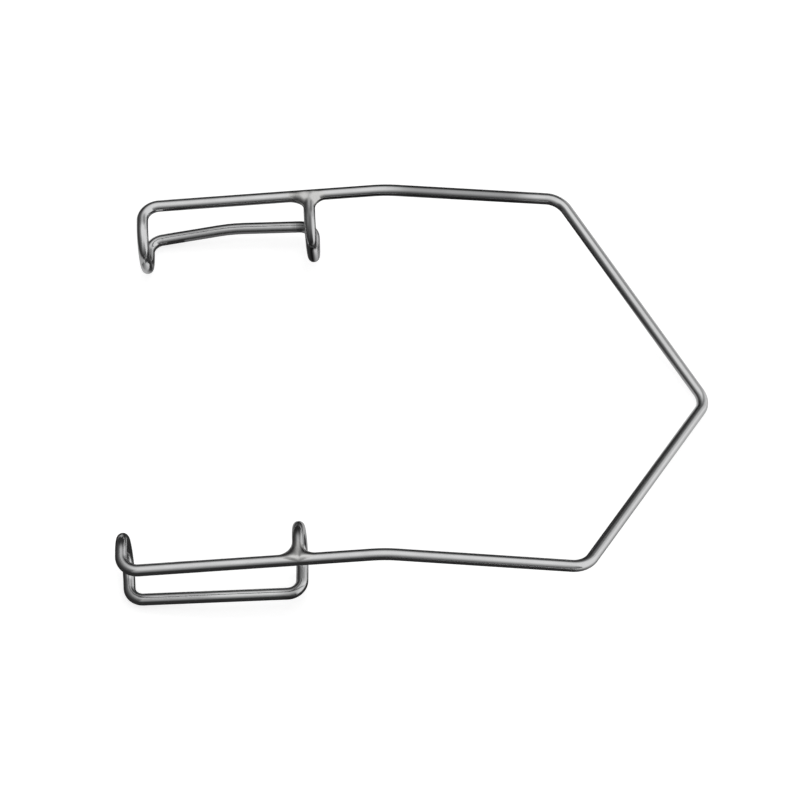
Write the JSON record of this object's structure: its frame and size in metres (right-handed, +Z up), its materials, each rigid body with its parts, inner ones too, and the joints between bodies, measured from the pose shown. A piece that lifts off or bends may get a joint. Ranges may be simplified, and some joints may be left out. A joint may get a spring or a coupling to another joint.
{
  "type": "self retaining retractor",
  "caption": "Self retaining wire retractor for eyelids: a sprung V-shaped bow joins bent arms that end in hooked wire blades with brazed ends.",
  "frame": {"origin": "on the table, under the middle of the box round the part; the part lies on its two far hooks and its crown", "axes": "+X from the blades towards the crown of the bow, +Y from the lower arm to the upper arm of the picture, +Z up, away from the eye"},
  "size_m": [0.0454, 0.0352, 0.0066],
  "materials": {
    "spring_wire": "drawn stainless spring wire, electropolished to a soft satin shine",
    "silver_braze": "silver braze, cleaned and polished with the wire, slightly warmer and smoother"
  },
  "bodies": {
    "crown": {"bow_crown": "spring_wire"},
    "upper_spring_leg": {"upper_leg": "spring_wire"},
    "upper_arm_and_blade": {"upper_shoulder_bend": "spring_wire", "upper_arm": "spring_wire", "upper_lid_rail": "spring_wire", "upper_far_hook": "spring_wire", "upper_return_wire": "spring_wire", "upper_near_hook": "spring_wire", "upper_braze_fillet": "silver_braze"},
    "lower_spring_leg": {"lower_leg": "spring_wire"},
    "lower_arm_and_blade": {"lower_shoulder_bend": "spring_wire", "lower_arm": "spring_wire", "lower_lid_rail": "spring_wire", "lower_far_hook": "spring_wire", "lower_return_wire": "spring_wire", "lower_near_hook": "spring_wire", "lower_braze_fillet": "silver_braze"}
  },
  "joints": [
    {"name": "upper_leg_flex", "type": "hinge", "parent": "crown", "child": "upper_spring_leg", "pos_m": [0.02162, 0.00146, 0.00067], "axis": [0, 0, 1], "range_deg": [0, 7.5], "stiffness_Nm_per_rad": 0.6},
    {"name": "upper_shoulder_flex", "type": "hinge", "parent": "upper_spring_leg", "child": "upper_arm_and_blade", "pos_m": [0.01293, 0.01567, 0.00381], "axis": [0, 0, 1], "range_deg": [0, 11.25], "stiffness_Nm_per_rad": 0.3},
    {"name": "lower_leg_flex", "type": "hinge", "parent": "crown", "child": "lower_spring_leg", "pos_m": [0.02162, -0.00146, 0.00067], "axis": [0, 0, -1], "range_deg": [0, 7.5], "stiffness_Nm_per_rad": 0.6},
    {"name": "lower_shoulder_flex", "type": "hinge", "parent": "lower_spring_leg", "child": "lower_arm_and_blade", "pos_m": [0.01293, -0.01567, 0.00381], "axis": [0, 0, -1], "range_deg": [0, 11.25], "stiffness_Nm_per_rad": 0.3}
  ],
  "couplings": [
    {"joint": "upper_shoulder_flex", "follows": "upper_leg_flex", "ratio": 1.5},
    {"joint": "lower_shoulder_flex", "follows": "lower_leg_flex", "ratio": 1.5}
  ]
}
